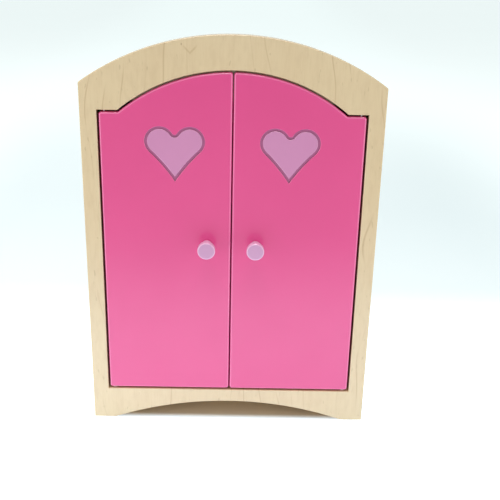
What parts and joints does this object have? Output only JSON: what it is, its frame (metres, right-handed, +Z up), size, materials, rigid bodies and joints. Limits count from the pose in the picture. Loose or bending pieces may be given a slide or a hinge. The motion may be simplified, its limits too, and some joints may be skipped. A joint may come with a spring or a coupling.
{
  "type": "doll wardrobe",
  "caption": "Doll-size wooden wardrobe with an arched face frame, a flat-roofed carcass, a hanging rail and two inset doors with heart inlays and round knobs.",
  "frame": {"origin": "on the floor, at the middle of the overall width and of the overall depth with the knobs", "axes": "+Z up, the doors face -Y, +X to the right seen from the front"},
  "size_m": [0.33, 0.19, 0.462],
  "materials": {
    "maple": "clear satin lacquer on pale close-grained hardwood",
    "birch_ply": "sanded thin plywood",
    "pink_paint": "glossy pink paint over smooth board",
    "lilac_paint": "satin lilac paint",
    "steel": "bright drawn steel",
    "nickel": "satin nickel plating",
    "nylon": "natural nylon"
  },
  "bodies": {
    "carcass": {"top_rail": "maple", "bottom_rail": "maple", "stile_left": "maple", "stile_right": "maple", "frame_dowels": "maple", "face_frame_dowels": "maple", "carcass_dowels": "maple", "side_panel_left": "maple", "side_panel_right": "maple", "floor_panel": "maple", "roof_panel": "maple", "back_panel": "birch_ply", "back_panel_nails": "steel", "top_pivot_pin_left": "steel", "top_pivot_pin_right": "steel", "bottom_pivot_pin_left": "steel", "bottom_pivot_pin_right": "steel", "pivot_washer_left": "nylon", "pivot_washer_right": "nylon", "door_stop": "maple", "door_stop_screws": "steel", "magnet_left": "nickel", "magnet_right": "nickel", "hanging_rail": "maple", "rail_cup_left": "maple", "rail_cup_right": "maple", "rail_cup_screw_left": "steel", "rail_cup_screw_right": "steel"},
    "left_door": {"door_left": "pink_paint", "heart_inlay_left": "lilac_paint", "knob_left": "lilac_paint", "knob_screw_left": "steel", "strike_plate_left": "nickel", "strike_screw_left": "steel"},
    "right_door": {"door_right": "pink_paint", "heart_inlay_right": "lilac_paint", "knob_right": "lilac_paint", "knob_screw_right": "steel", "strike_plate_right": "nickel", "strike_screw_right": "steel"}
  },
  "joints": [
    {"name": "left_door_hinge", "type": "hinge", "parent": "carcass", "child": "left_door", "pos_m": [-0.13899, -0.069, 0.21], "axis": [0, 0, -1], "range_deg": [0, 100]},
    {"name": "right_door_hinge", "type": "hinge", "parent": "carcass", "child": "right_door", "pos_m": [0.13899, -0.069, 0.21], "axis": [0, 0, 1], "range_deg": [0, 100]}
  ]
}
